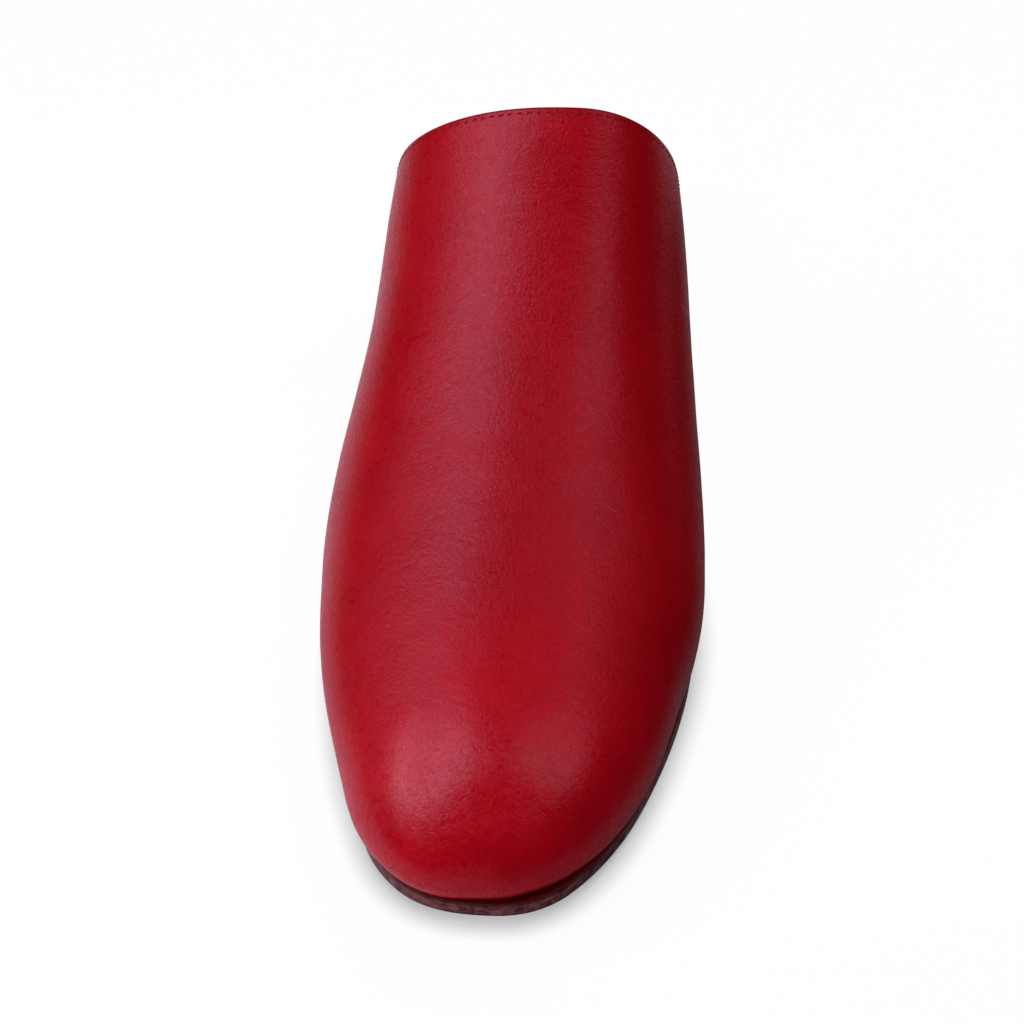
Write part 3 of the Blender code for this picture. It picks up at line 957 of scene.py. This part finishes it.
def heel_rubber(colours):
    """Moulded rubber for the lift that wears: matt, finely pitted and faintly dusty."""
    material, g = new_material("heel_rubber")
    place = g.millimetres()
    pits = g.noise(place, 0.5, 3.0, 0.7)
    dust = g.noise(place, 8.0, 4.0, 0.6).between(0.45, 0.8)
    rubber = g.mix(dust * 0.5, tuple(colours.rubber), shade(colours.rubber, 2.4))
    g.surface(
        Base_Color=rubber,
        Roughness=0.62 + 0.2 * (pits - 0.5) + 0.1 * dust,
        Specular_IOR_Level=0.35,
        Normal=g.bump(0.03 * pits + 0.03 * g.noise(place, 2.5, 2.0)),
    )
    return material


def waxed_thread(colours):
    """Three twisted plies of thread, dyed with the leather, with painted shade: darker in the grooves between the plies
    and lighter on their crests.
    """
    material, g = new_material("waxed_thread")
    along, across, _ = g.axes(g.attribute("thread_place", "Vector"))
    plies = g.math("SINE", along * 16.0 + across * 9.0)
    # Painted shade: the thread is painted lighter where the plies stand high and darker in the grooves between them.
    tone = 0.5 + 0.5 * plies
    dyed = g.mix(tone, shade(colours.thread, 0.7), shade(colours.thread, 1.2))
    g.surface(
        Base_Color=dyed,
        Roughness=0.5 + 0.08 * plies,
        Specular_IOR_Level=0.35,
        Normal=g.bump(0.04 * plies),
    )
    return material


# ---------------------------------------------------------------- stitches


class StitchTree(Graph):
    """A Geometry Nodes tree that lays stitches along a line of points, each with the leather's normal."""

    INPUTS = {
        "Stitches": "Int",
        "Length": "Float",
        "Width": "Float",
        "Height": "Float",
        "Slant": "Float",
        "Unevenness": "Float",
        "Thread": "Material",
    }

    def __init__(self):
        super().__init__(bpy.data.node_groups.new("row_of_stitches", "GeometryNodeTree"))
        self.socket("Geometry", "INPUT", "Geometry")
        self.identifiers = {name: self.socket(name, "INPUT", kind) for name, kind in self.INPUTS.items()}
        self.result = self.socket("Geometry", "OUTPUT", "Geometry")
        self.build()

    def socket(self, name, way, kind):
        """Adds an input or output of the tree and gives its identifier."""
        return self.tree.interface.new_socket(name, in_out=way, socket_type="NodeSocket" + kind).identifier

    def geometry(self, kind, settings=None, **values):
        """A node that ends in geometry, or another node of which only the first output is used."""
        sockets = {name.replace("_", " "): value for name, value in values.items()}
        return self.node("GeometryNode" + kind, settings or {}, sockets, 0)

    def random(self, least, most, seed):
        values = {"Min_001": least, "Max_001": most, "Seed": seed}
        return self.node("FunctionNodeRandomValue", {"data_type": "FLOAT"}, values, "Value_001")

    def build(self):
        """Links the line, the stitch's shape and its turn into instances, and ends in plain geometry."""
        group = self.node("NodeGroupInput", {}, {}, None)
        asked = {name: self.wrapped(named(group.outputs, key)) for name, key in self.identifiers.items()}
        line = self.geometry("MeshToCurve", Mesh=group.outputs[0])
        spaced = self.geometry("ResampleCurve", {"mode": "COUNT"}, Curve=line, Count=asked["Stitches"])

        ball = self.geometry("MeshUVSphere", Segments=8, Rings=7, Radius=1.0)
        kept = {"data_type": "FLOAT_VECTOR", "domain": "POINT"}
        place = self.geometry("InputPosition")
        marked = self.geometry("StoreNamedAttribute", kept, Geometry=ball, Name="thread_place", Value=place)
        sizes = {"X": asked["Length"], "Y": asked["Width"], "Z": asked["Height"]}
        size = {"Vector": self.node("ShaderNodeCombineXYZ", {}, sizes, 0), "Scale": 0.5}
        half = self.node("ShaderNodeVectorMath", {"operation": "SCALE"}, size, "Vector")
        shaped = self.geometry("Transform", Geometry=marked, Scale=half)

        directions = {
            "Primary Axis": self.geometry("InputNamedAttribute", {"data_type": "FLOAT_VECTOR"}, Name="leather_normal"),
            "Secondary Axis": self.geometry("InputTangent"),
        }
        axes = {"primary_axis": "Z", "secondary_axis": "X"}
        facing = self.node("FunctionNodeAxesToRotation", axes, directions, 0)
        turn = asked["Slant"] + self.random(-STITCH_WOBBLE, STITCH_WOBBLE, STITCH_SEED)
        turned = {"Rotation": facing, "Rotate By": self.node("ShaderNodeCombineXYZ", {}, {"Z": turn}, 0)}
        slanted = self.node("FunctionNodeRotateRotation", {"rotation_space": "LOCAL"}, turned, 0)

        share = self.random(1.0 - asked["Unevenness"], 1.0, STITCH_SEED + 1)
        placed = self.geometry("InstanceOnPoints", Points=spaced, Instance=shaped, Rotation=slanted, Scale=share)
        real = self.geometry("RealizeInstances", Geometry=placed)
        smooth = self.geometry("SetShadeSmooth", Geometry=real)
        dyed = self.geometry("SetMaterial", Geometry=smooth, Material=asked["Thread"])
        self.node("NodeGroupOutput", {}, {self.result: dyed}, None)


def stitch_line(sizes):
    """Points along the stitches and the leather's normals there, found a set distance in from the collar's edge."""
    points, normals, distances = vamp_surface(sizes)
    inset = sizes.stitch_inset / MM
    line, facing = [], []
    for column in range(points.shape[1]):
        away = distances[::-1, column]
        last = int(np.argmax(away > inset))
        share = (inset - away[last - 1]) / (away[last] - away[last - 1])
        rows = points[::-1, column], normals[::-1, column]
        place, normal = (row[last - 1] + (row[last] - row[last - 1]) * share for row in rows)
        line.append(place)
        facing.append(normal / np.linalg.norm(normal))
    return np.array(line), np.array(facing)


# ---------------------------------------------------------------- settings


def number_property(name, description, default, **more):
    return bpy.props.FloatProperty(name=name, description=description, default=default, **more)


def length_property(name, description, default):
    return number_property(name, description, default, min=0.0, precision=5, subtype="DISTANCE", unit="LENGTH")


def power_property(name, description, default):
    return number_property(name, description, default, unit="POWER")


def colour_property(name, description, default):
    return bpy.props.FloatVectorProperty(
        name=name, description=description, default=default, size=4, min=0.0, max=1.0, subtype="COLOR"
    )


class MuleSizes(bpy.types.PropertyGroup):
    """Sizes of the leather, the stitching and the heel's layers."""

    vamp_thickness: length_property("Vamp thickness", "Thickness of the red leather", 0.00112)
    lining_thickness: length_property("Lining thickness", "Thickness of the lining leather", 0.0008)
    edge_round: length_property("Edge rounding", "Radius of the painted edge at the collar", 0.00042)
    stitch_inset: length_property("Stitch inset", "Distance of the stitches from the collar's edge", 0.0013)
    stitch_pitch: length_property("Stitch pitch", "Distance from one stitch to the next", 0.0024)
    stitch_length: length_property("Stitch length", "Length of the thread that shows in a stitch", 0.0016)
    thread_width: length_property("Thread width", "Width of the thread", 0.00042)
    thread_height: length_property("Thread height", "How thick the thread is above and below the leather", 0.00029)
    sole_edge_round: length_property("Sole edge rounding", "Radius of the sole's upper and lower edges", 0.0007)
    sock_edge_round: length_property("Sock edge rounding", "Radius of the sock's upper edge", 0.0009)
    lift_thickness: length_property("Lift thickness", "Thickness of one layer of the stacked heel", 0.0031)
    heel_edge_round: length_property("Heel edge rounding", "Radius of the heel's lower edges", 0.0004)
    crease_strength: number_property(
        "Crease strength", "Depth of the creases, as a share of their own", 1.0, subtype="FACTOR"
    )


class MuleColours(bpy.types.PropertyGroup):
    """Colours of the leathers, the thread, the rubber and the floor, and of the painted shade on the sole's top face.
    """

    leather: colour_property("Leather", "The red where the dye is light", (0.395, 0.0006, 0.0055, 1.0))
    leather_deep: colour_property("Deep leather", "The red where the dye is deep", (0.31, 0.0004, 0.0038, 1.0))
    painted_edge: colour_property("Painted edge", "Edge paint at the collar", (0.13, 0.0040, 0.0080, 1.0))
    thread: colour_property("Thread", "Thread of the collar's stitches", (0.27, 0.004, 0.012, 1.0))
    lining: colour_property("Lining", "Lining leather", (0.46, 0.27, 0.14, 1.0))
    sock: colour_property("Sock", "Leather under the foot", (0.43, 0.25, 0.13, 1.0))
    sole: colour_property("Sole", "Dyed sole leather", (0.042, 0.010, 0.009, 1.0))
    sole_worn: colour_property("Worn sole edge", "The sole's edge where it is rubbed pale", (0.30, 0.095, 0.10, 1.0))
    # This colour is painted shade: the dark red line on the sole's top face, in the gap under the upper.
    welt: colour_property("Sole's upper face", "The dyed top of the sole where it shows", (0.15, 0.004, 0.006, 1.0))
    heel: colour_property("Heel", "Stacked leather of the heel", (0.060, 0.022, 0.016, 1.0))
    rubber: colour_property("Rubber", "Rubber of the top lift", (0.016, 0.012, 0.011, 1.0))
    floor: colour_property("Floor", "The studio's floor", (0.05, 0.05, 0.05, 1.0))


class MuleStudio(bpy.types.PropertyGroup):
    """The camera's lens and the strength of each light."""

    lens: number_property("Lens", "Focal length of the camera", 150.0, unit="CAMERA", subtype="DISTANCE_CAMERA")
    key: power_property("Key light", "Power of the large softbox at the left", 1.02)
    fill: power_property("Fill light", "Power of the softbox at the upper right", 0.28)
    glint: power_property("Glint", "Power of the small warm light low on the left", 0.12)
    front: power_property("Front light", "Power of the low light in front, which gives no highlight", 2.6)
    back: power_property("Back light", "Power of the high light behind, which gives no highlight", 4.7)
    right: power_property("Right light", "Power of the light on the big-toe side, which gives no highlight", 0.3)
    left: power_property("Left light", "Power of the low light on the little-toe side, which gives no highlight", 0.5)
    surround: number_property("Surround", "Brightness of the room in the leather's reflections", 0.015, min=0.0)


# ---------------------------------------------------------------- operators


class MULE_OT_vamp(bpy.types.Operator):
    """Makes the one-piece vamp of red calf, with its creases and its rounded, painted edge at the collar"""

    bl_idname = "mule.vamp"
    bl_label = "Vamp"
    bl_options = {"REGISTER", "UNDO"}

    def execute(self, context):
        sizes, colours = context.scene.mule_sizes, context.scene.mule_colours
        points, normals, _ = vamp_surface(sizes)
        points[:, (0, -1), 2] -= GAP - SEAM  # down on to the sole
        rows = sheet_rows(points, normals, sizes.vamp_thickness / MM, sizes.edge_round / MM)
        piece = finish_piece("vamp", sheet_mesh(rows), red_calf(colours, sizes), ["upper"])
        collar_attributes(piece.data, points[-1])
        return {"FINISHED"}


class MULE_OT_lining(bpy.types.Operator):
    """Makes the lining leather inside the vamp"""

    bl_idname = "mule.lining"
    bl_label = "Lining"
    bl_options = {"REGISTER", "UNDO"}

    def execute(self, context):
        sizes, colours = context.scene.mule_sizes, context.scene.mule_colours
        points = skin_grid(LINING_ROWS, LINING_WALL_STEPS, LINING_DOME_STEPS)
        normals = grid_normals(points)
        thickness = sizes.lining_thickness / MM
        press = hollow_depths(points) * shaped_share(points)
        outer = points - (WALL - thickness + press[..., None]) * normals
        outer[:, (0, -1), 2] = points[:, (0, -1), 2] - GAP + SEAM
        back = outer[-2] - outer[-1]
        outer[-1] += LINING_SHORT * back / np.linalg.norm(back, axis=1, keepdims=True)
        rows = sheet_rows(outer, normals, thickness, SMALL_ROUND)
        material = soft_lining("lining_leather", tuple(colours.lining), shade(colours.lining, 0.72), 0.9)
        finish_piece("lining", sheet_mesh(rows), material, [])
        return {"FINISHED"}


class MULE_OT_stitches(bpy.types.Operator):
    """Lays the row of stitches along the collar"""

    bl_idname = "mule.stitches"
    bl_label = "Stitches"
    bl_options = {"REGISTER", "UNDO"}

    def execute(self, context):
        sizes, colours = context.scene.mule_sizes, context.scene.mule_colours
        line, facing = stitch_line(sizes)
        run = running_length(line)
        pitch = sizes.stitch_pitch / MM
        stitches = int((run[-1] - BARE_PITCHES * pitch) / pitch)
        start = (run[-1] - stitches * pitch) / 2
        share = start + np.linspace(0, stitches * pitch, 4 * stitches + 1)
        place = between_points(line, run, share)
        normal = between_points(facing, run, share)
        data = bpy.data.meshes.new("collar_stitches")
        data.from_pydata(((place - ORIGIN) * MM).tolist(), [(i, i + 1) for i in range(len(place) - 1)], [])
        point_attribute(data, "leather_normal", normal, "FLOAT_VECTOR")
        piece = bpy.data.objects.new("collar_stitches", data)
        context.scene.collection.objects.link(piece)
        tree = StitchTree()
        modifier = piece.modifiers.new("row_of_stitches", "NODES")
        modifier.node_group = tree.tree
        asked = {
            "Stitches": stitches + 1,
            "Length": sizes.stitch_length,
            "Width": sizes.thread_width,
            "Height": sizes.thread_height,
            "Slant": STITCH_SLANT,
            "Unevenness": STITCH_UNEVENNESS,
            "Thread": waxed_thread(colours),
        }
        for name, value in asked.items():
            modifier[tree.identifiers[name]] = value
        seen = piece.evaluated_get(context.evaluated_depsgraph_get())
        laid = bpy.data.meshes.new_from_object(seen)
        piece.modifiers.remove(modifier)
        piece.data = laid
        if len(laid.polygons) < stitches:
            raise RuntimeError("the stitches have no faces")
        declare_piece(piece, [])
        return {"FINISHED"}


class MULE_OT_bottom(bpy.types.Operator):
    """Makes the leather sole and the sock that lies on it"""

    bl_idname = "mule.bottom"
    bl_label = "Sole and sock"
    bl_options = {"REGISTER", "UNDO"}

    def execute(self, context):
        sizes, colours = context.scene.mule_sizes, context.scene.mule_colours
        sole_round = sizes.sole_edge_round / MM
        sole = slab_mesh(
            outsole_inset,
            lambda station, middle: sole_top(station),
            lambda station, middle: sole_bottom(station),
            slab_side(sole_round, sole_round),
        )
        piece = finish_piece("sole_leather", sole, burnished_sole(colours), ["outsole"])
        places = vertex_places(piece.data)
        point_attribute(piece.data, "edge_height", places[:, 2] - sole_bottom(places[:, 1]))
        sock = slab_mesh(
            insole_inset,
            insole_top,
            lambda station, middle: sole_top(station) + SEAM,
            slab_side(sizes.sock_edge_round / MM, SMALL_ROUND),
        )
        material = soft_lining("sock_leather", tuple(colours.sock), shade(colours.sock, 0.7), 1.0)
        finish_piece("sock_lining", sock, material, ["insole"])
        return {"FINISHED"}


class MULE_OT_heel(bpy.types.Operator):
    """Makes the stacked leather heel and its rubber top lift"""

    bl_idname = "mule.heel"
    bl_label = "Heel"
    bl_options = {"REGISTER", "UNDO"}

    def execute(self, context):
        sizes, colours = context.scene.mule_sizes, context.scene.mule_colours
        soft = sizes.heel_edge_round / MM
        base = TOP_LIFT_THICKNESS + SEAM
        rings = []
        for share in np.linspace(0, 1, 9):
            taper = HEEL_TAPER * share**TAPER_POWER
            plan = heel_ring(HEEL_INSET + taper, taper)
            seat = sole_bottom(plan[:, 1]) - SEAM
            rings.append(np.column_stack([plan, seat + (base + soft - seat) * share]))
        for turn in np.linspace(0, math.pi / 2, ARC_STEPS + 1)[1:]:
            inset = HEEL_TAPER + soft * (1 - math.cos(turn))
            plan = heel_ring(HEEL_INSET + inset, inset)
            rings.append(np.column_stack([plan, np.full(len(plan), base + soft * (1 - math.sin(turn)))]))
        finish_piece("heel_stack", block_mesh(rings), stacked_leather(colours, sizes), ["heel"])
        lift = []
        for inset, share, offset in slab_side(LIFT_ROUND, soft):
            plan = heel_ring(HEEL_INSET + HEEL_TAPER + inset, HEEL_TAPER + inset)
            lift.append(np.column_stack([plan, np.full(len(plan), TOP_LIFT_THICKNESS * (1 - share) + offset)]))
        finish_piece("top_lift_rubber", block_mesh(lift), heel_rubber(colours), ["top_lift"])
        return {"FINISHED"}


class MULE_OT_stage(bpy.types.Operator):
    """Sets up the floor, the lights, the room and the camera"""

    bl_idname = "mule.stage"
    bl_label = "Studio"
    bl_options = {"REGISTER", "UNDO"}

    def execute(self, context):
        scene = context.scene
        make_floor(scene)
        make_room(scene)
        make_lights(scene)
        place_camera(scene)
        scene.view_settings.view_transform = "Standard"
        return {"FINISHED"}


def make_floor(scene):
    """A wide round floor at the tread's height.

    The camera sees it pale all over, because it glows, and a painted contact shadow dims that glow by ambient occlusion
    close to the shoe. The leather reflects it dark but for two bright areas, which
    lie fixed on it: one on the little-toe side and one behind the shoe on the big-toe side.
    """
    mesh = bmesh.new()
    bmesh.ops.create_circle(mesh, cap_ends=True, segments=96, radius=FLOOR_RADIUS)
    data = bpy.data.meshes.new("floor")
    mesh.to_mesh(data)
    mesh.free()
    material, g = new_material("studio_floor")
    place = g.millimetres()
    tone = g.noise(place, 60.0, 4.0)
    paper = g.mix(tone, shade(scene.mule_colours.floor, 0.985), tuple(scene.mule_colours.floor))
    seen = g.node("ShaderNodeLightPath", {}, {}, "Is Camera Ray")
    across, along, _ = g.axes(place)
    beside = across.between(-600.0, -400.0) * g.math("ABSOLUTE", along).between(500.0, 230.0)
    beside = beside * across.between(95.0, 48.0) * (0.35 + 0.65 * across.between(30.0, -20.0))
    behind = across.between(50.0, 100.0) * across.between(650.0, 500.0) * along.between(135.0, 215.0)
    reflected = g.mix(beside + 0.85 * behind, UNLIT_FLOOR, LIT_FLOOR)
    paper = g.mix(seen, reflected, paper)
    # Painted contact shadow: where ambient occlusion finds the shoe close by, the glow that only the camera sees is
    # dimmed.
    open_air = g.node("ShaderNodeAmbientOcclusion", {"samples": 3}, {"Distance": CONTACT_SHADOW}, "AO")
    glow = g.mix((0.08 + 0.88 * open_air) * seen, (0.0, 0.0, 0.0, 1.0), (1.0, 1.0, 1.0, 1.0))
    g.surface(
        Base_Color=paper,
        Roughness=0.9,
        Specular_IOR_Level=0.0,
        Emission_Color=glow,
        Emission_Strength=1.0,
    )
    data.materials.append(material)
    floor = bpy.data.objects.new("floor", data)
    scene.collection.objects.link(floor)


def make_room(scene):
    """Pale where it is seen, and dimmer in reflections."""
    world = bpy.data.worlds.new("studio")
    world.use_nodes = True
    g = Graph(world.node_tree)
    seen = g.node("ShaderNodeLightPath", {}, {}, "Is Camera Ray")
    surround = scene.mule_studio.surround
    strength = surround + (SEEN_ROOM - surround) * seen
    background = g.node("ShaderNodeBackground", {}, {"Color": (1.0, 1.0, 1.0, 1.0), "Strength": strength}, "Background")
    g.node("ShaderNodeOutputWorld", {}, {"Surface": background}, None)
    scene.world = world


def make_lights(scene):
    """Rectangular lights that aren't seen themselves, each with its power from the panel."""
    for name, (place, size, colour, target, left_out) in LIGHTS.items():
        lamp = bpy.data.lights.new(name, "AREA")
        lamp.shape = "RECTANGLE"
        lamp.size, lamp.size_y = size
        lamp.energy = getattr(scene.mule_studio, name)
        lamp.color = colour
        holder = bpy.data.objects.new(name, lamp)
        facing = (Vector(target) - Vector(place)).to_track_quat("-Z", "Y").to_matrix().to_4x4()
        holder.matrix_world = Matrix.Translation(place) @ facing
        for rays in ("camera", *left_out):
            setattr(holder, f"visible_{rays}", False)
        scene.collection.objects.link(holder)


def place_camera(scene):
    """Looks down at the toe from the front, turned so that the shoe stands upright in the picture."""
    forward = (CAMERA_LOOKS_AT - CAMERA_PLACE).normalized()
    right = forward.cross(CAMERA_UP).normalized()
    up = right.cross(forward)
    turn = Matrix((right, up, -forward)).transposed()
    data = bpy.data.cameras.new("camera")
    data.lens = scene.mule_studio.lens
    data.sensor_width = SENSOR_WIDTH
    data.clip_start = CLIP_START
    camera = bpy.data.objects.new("camera", data)
    camera.matrix_world = Matrix.Translation(CAMERA_PLACE) @ turn.to_4x4()
    scene.collection.objects.link(camera)
    scene.camera = camera


# ---------------------------------------------------------------- panel and registration


class MULE_PT_panel(bpy.types.Panel):
    """The mule's pieces, sizes and colours"""

    bl_idname = "MULE_PT_panel"
    bl_label = "Leather mule"
    bl_space_type = "VIEW_3D"
    bl_region_type = "UI"
    bl_category = "Mule"

    def draw(self, context):
        layout = self.layout
        for operator in OPERATORS:
            layout.operator(operator.bl_idname)
        for name in GROUPS:
            settings = getattr(context.scene, name)
            box = layout.box()
            for key in settings.bl_rna.properties.keys():
                if key not in ("rna_type", "name"):
                    box.prop(settings, key)


GROUPS = {"mule_sizes": MuleSizes, "mule_colours": MuleColours, "mule_studio": MuleStudio}
OPERATORS = (MULE_OT_vamp, MULE_OT_lining, MULE_OT_stitches, MULE_OT_bottom, MULE_OT_heel, MULE_OT_stage)


def register():
    for kind in (*GROUPS.values(), *OPERATORS, MULE_PT_panel):
        bpy.utils.register_class(kind)
    for name, kind in GROUPS.items():
        setattr(bpy.types.Scene, name, bpy.props.PointerProperty(type=kind))


def unregister():
    for name in GROUPS:
        delattr(bpy.types.Scene, name)
    for kind in reversed((*GROUPS.values(), *OPERATORS, MULE_PT_panel)):
        bpy.utils.unregister_class(kind)


def main():
    """Makes every piece in order."""
    register()
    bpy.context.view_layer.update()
    bpy.ops.mule.vamp()
    bpy.ops.mule.lining()
    bpy.ops.mule.stitches()
    bpy.ops.mule.bottom()
    bpy.ops.mule.heel()
    bpy.ops.mule.stage()


if __name__ == "__main__":
    main()
